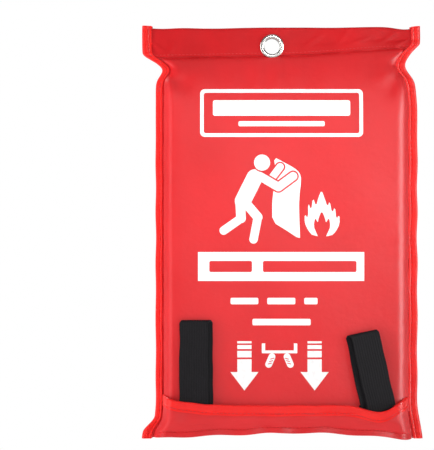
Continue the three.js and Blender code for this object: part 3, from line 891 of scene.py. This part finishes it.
tab_inside = mouth_middle - 1.2
proud, tip_bend = 0.6, 1.4
for name, lean, slip, fan in (("left", 0.0, 1.6, 1.9), ("right", math.radians(12.3), -1.8, -2.2)):
    low, high = corners_mm(name + "_tab_anchor")
    tab_high = corners_mm(name + "_pull_tab")[1]
    middle = (low.x + high.x) / 2
    hinge = hinge_heights[name + "_tab_swing"]
    sewn_top = high.z - 1.4
    ends = [(front_inner, tab_inside + 2)]
    ends += arc(front_layer, front_edge, web_from_panel, 180, 360)
    ends += [(rear_inner, sewn_top)]
    ends += arc((rear_inner + rear_outer) / 2, sewn_top, web_step / 2, 180, 0, 8)
    ends += arc(front_layer, front_edge, rear_outer - front_layer, 0, -180)
    ends += [(front_outer, tab_inside + 2)]
    spread = [fan, fan] + [0] * (len(ends) - 4) + [-fan, -fan]
    sewn_end = webbing_piece(name + "_tab_sewn_end", ends, middle, spread)
    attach(sewn_end, "blanket")
    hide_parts(name + "_tab_anchor")
    length = (tab_high.z - hinge) / math.cos(lean) - web_wide / 2 * math.tan(lean)
    tip = length + (0.2 if name == "left" else 1.4)
    loop = [(front_inner, tab_inside), (front_inner - proud, hinge - 2), (front_inner - proud, hinge + 6),
            (front_inner, hinge + tip - 4)]
    loop += arc(front_inner - tip_bend, hinge + tip - tip_bend, tip_bend, 0, 180, 12)
    loop += [(front_inner - 2.5, hinge + tip - 8), (front_outer - proud, hinge + 12),
             (front_outer - proud, hinge + 3), (front_outer - proud, hinge - 2), (front_outer, tab_inside)]
    slips = [fan, fan, fan, slip] + list(np.linspace(slip, -slip, 12)) + [-slip, -fan, -fan, -fan, -fan]
    tab = webbing_piece(name + "_tab_loop", loop, middle, slips, lean, hinge)
    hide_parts(name + "_pull_tab")
    (hinge + 6.5) / 1000
    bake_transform(tab)

# ---------------------------------------------------------------------------------------------
# Stitching: red polyester thread, lockstitched along the header band, the side bindings, the
# flap's binding and its hem. Each stitch lies on its cloth with its ends drawn in.

thread = Finish("red_thread", Sheen_Weight=0.1)
thread_place = thread.place()
twist = thread.noise(thread_place, 2600, 2)
thread.set({
    "Base Color": thread.mix((0.42, 0.006, 0.008, 1), (0.86, 0.03, 0.03, 1), twist * 1.2 - 0.1),
    "Roughness": 0.5 + (twist - 0.5) * 0.2,
})


pitch, stitch_gap = 2.7, 0.35
thread_half = 0.00021


def stitch_row(name, line, cloth, rear=False):
    """A row of stitches on a cloth along a line of (x, z) points in mm, seen from one face."""
    line = np.array(line)
    along = np.r_[0, np.cumsum(np.linalg.norm(np.diff(line, axis=0), axis=1))]
    surface = BVHTree.FromObject(cloth, bpy.context.evaluated_depsgraph_get())
    towards = Vector((0, -1, 0)) if rear else Vector((0, 1, 0))
    bm = bmesh.new()
    for k in range(int(along[-1] / pitch)):
        ends = []
        for at in (k * pitch + stitch_gap, k * pitch + pitch - stitch_gap):
            x, z = (np.interp(at, along, line[:, n]) / 1000 for n in (0, 1))
            hit = surface.ray_cast(Vector((x, 0, z)) - towards * 0.08, towards)[0]
            if hit:
                ends.append(hit)
        if len(ends) < 2 or (ends[1] - ends[0]).length > 2 * pitch / 1000:
            continue
        way = ends[1] - ends[0]
        middle = (ends[0] + ends[1]) / 2 - towards * 0.00006
        shape = Matrix.Translation(middle) @ way.to_track_quat("X", "Z").to_matrix().to_4x4() \
            @ Matrix.Diagonal((way.length / 2, thread_half, thread_half, 1))
        bmesh.ops.create_uvsphere(bm, u_segments=6, v_segments=4, radius=1,
                                  matrix=shape @ Matrix.Rotation(math.pi / 2, 4, "Y"))
    mesh = bpy.data.meshes.new(name)
    bm.to_mesh(mesh)
    bm.free()
    row = new_piece(name, mesh, thread.material)
    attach(row, "pouch")


def hung_line(line):
    """Where a line of (x, z) points marked on the flat cloth comes to as the pouch hangs."""
    spots = hang(np.array([[(x, 0.0, z)] for x, z in line]))[:, 0]
    return [(x, z) for x, _, z in spots]


seam_row = hung_line(
    [(x, header_seam + 1.7) for x in np.linspace(pouch_middle - 92, pouch_middle + 92, 60)])
for rear in (False, True):
    stitch_row("band_stitches" + ("_rear" if rear else ""), seam_row, header_band, rear=rear)
tape_rows = np.linspace(header_top - 0.5, foot_corner, 120)
for side, name, inset in ((-1, "left", 5.0), (1, "right", 4.7)):
    tape = bpy.data.objects[name + "_side_tape"]
    for rear, inward in ((False, inset), (True, 5.8)):
        tape_row = hung_line(
            [(pouch_middle + side * (half_width(z, side) - inward), z) for z in tape_rows])
        stitch_row(name + "_tape_stitches" + ("_rear" if rear else ""), tape_row, tape, rear=rear)
mouth_row = mouth_line[:, 0]
stitch_row("mouth_stitches", [(p[0], p[2] + mouth_lip - mouth_seam) for p in mouth_row[3:-3]],
           flap_tape)
hem_x = flap_points[:, -1]
stitch_row("hem_stitches", [(p[0], p[2] + hem_height) for p in hem_x[14:-14]], pocket_flap)

# ---------------------------------------------------------------------------------------------
# Room: a pale floor well below the hanging pouch that glows with painted light, dimmer near
# the middle and brighter further out, soft studio light, and the camera straight in front.
# The lamps' places and sizes here are in metres.

# The floor's finish gives off painted light of its own, set by its emission colour below.
glowing_floor_finish = Finish("glowing_pale_floor", Emission_Strength=1.0)
floor_place = glowing_floor_finish.place()
floor_glow_reach = glowing_floor_finish.node("ShaderNodeVectorMath", {"operation": "LENGTH"}, {0: floor_place}, 1)
glowing_floor_finish.set({
    "Base Color": glowing_floor_finish.mix((0.80, 0.80, 0.79, 1), (0.86, 0.86, 0.85, 1),
                                   glowing_floor_finish.noise(floor_place, 3, 2)),
    "Roughness": 0.88 + 0.04 * glowing_floor_finish.noise(floor_place, 3, 2),
    # Painted light: the floor glows dimly near the middle under the pouch and brighter further out, and
    # this glow also lights the pouch from below.
    "Emission Color": glowing_floor_finish.mix((0.26, 0.26, 0.26, 1), (0.72, 0.72, 0.72, 1),
                                       (floor_glow_reach - 0.5) * 0.6),
})
floor_half, floor_height = 2.8, -0.62
bm = bmesh.new()
bmesh.ops.create_grid(bm, x_segments=2, y_segments=2, size=floor_half,
                      matrix=Matrix.Translation((0, 0, floor_height)))
floor_mesh = bpy.data.meshes.new("floor")
bm.to_mesh(floor_mesh)
bm.free()
floor = new_piece("floor", floor_mesh, glowing_floor_finish.material)
floor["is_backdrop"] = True

scene = bpy.context.scene
world = bpy.data.worlds.new("white_room")
world.use_nodes = True
scene.world = world
backdrop = world.node_tree.nodes["Background"]
rays = world.node_tree.nodes.new("ShaderNodeLightPath")
strength = world.node_tree.nodes.new("ShaderNodeMapRange")
strength.inputs["To Min"].default_value = 0.19
strength.inputs["To Max"].default_value = 1.0
world.node_tree.links.new(rays.outputs["Is Camera Ray"], strength.inputs["Value"])
world.node_tree.links.new(strength.outputs[0], backdrop.inputs["Strength"])
backdrop.inputs["Color"].default_value = (1, 1, 1, 1)

target = Vector((pouch_middle, 0, (front_high.z + front_low.z) / 2)) / 1000
for name, place, wide, tall, watts in (
    ("front_fill", (0.12, -1.40, 0.40), 0.9, 0.45, 1.0),
    ("right_strip", (0.76, -0.30, -0.06), 0.12, 0.8, 2.2),
    ("left_strip", (-0.80, -0.30, -0.05), 0.30, 0.8, 5.0),
    ("right_gloss", (0.72, -0.40, -0.10), 0.26, 0.42, 14.0),
    ("rear", (-0.5, 1.2, 0.8), 1.0, 0.8, 11),
):
    lamp = bpy.data.lights.new(name, "AREA")
    lamp.shape, lamp.size, lamp.size_y, lamp.energy = "RECTANGLE", wide, tall, watts
    stand = bpy.data.objects.new(name, lamp)
    stand.location = place
    stand.rotation_euler = (target - Vector(place)).to_track_quat("-Z", "Y").to_euler()
    stand.visible_diffuse = name != "right_gloss"
    stand.visible_glossy = name != "right_strip"
    scene.collection.objects.link(stand)

pool = bpy.data.lights.new("soft_pool", "SPOT")
pool.energy, pool.shadow_soft_size = 43, 0.12
pool.spot_size, pool.spot_blend = math.radians(16.5), 1.0
pool_stand = bpy.data.objects.new("soft_pool", pool)
pool_stand.location = (0.14, -1.42, 0.32)
pool_way = Vector((0.02, 0, -0.085)) - pool_stand.location
pool_stand.rotation_euler = pool_way.to_track_quat("-Z", "Y").to_euler()
scene.collection.objects.link(pool_stand)

overhead = bpy.data.lights.new("overhead", "SUN")
overhead.energy, overhead.angle = 0.45, math.radians(50)
scene.collection.objects.link(bpy.data.objects.new("overhead", overhead))

camera_data = bpy.data.cameras.new("camera")
camera = bpy.data.objects.new("camera", camera_data)
camera_distance, view_height, sensor = 1.6, 0.3168, 36
camera_data.sensor_width = sensor
camera_data.lens = sensor * camera_distance / view_height
camera.location = (-0.0391, front_layer / 1000 - camera_distance, -0.1271)
camera.rotation_euler = (math.radians(90), 0, 0)
scene.collection.objects.link(camera)
scene.camera = camera
scene.view_settings.view_transform = "Standard"

low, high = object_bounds()
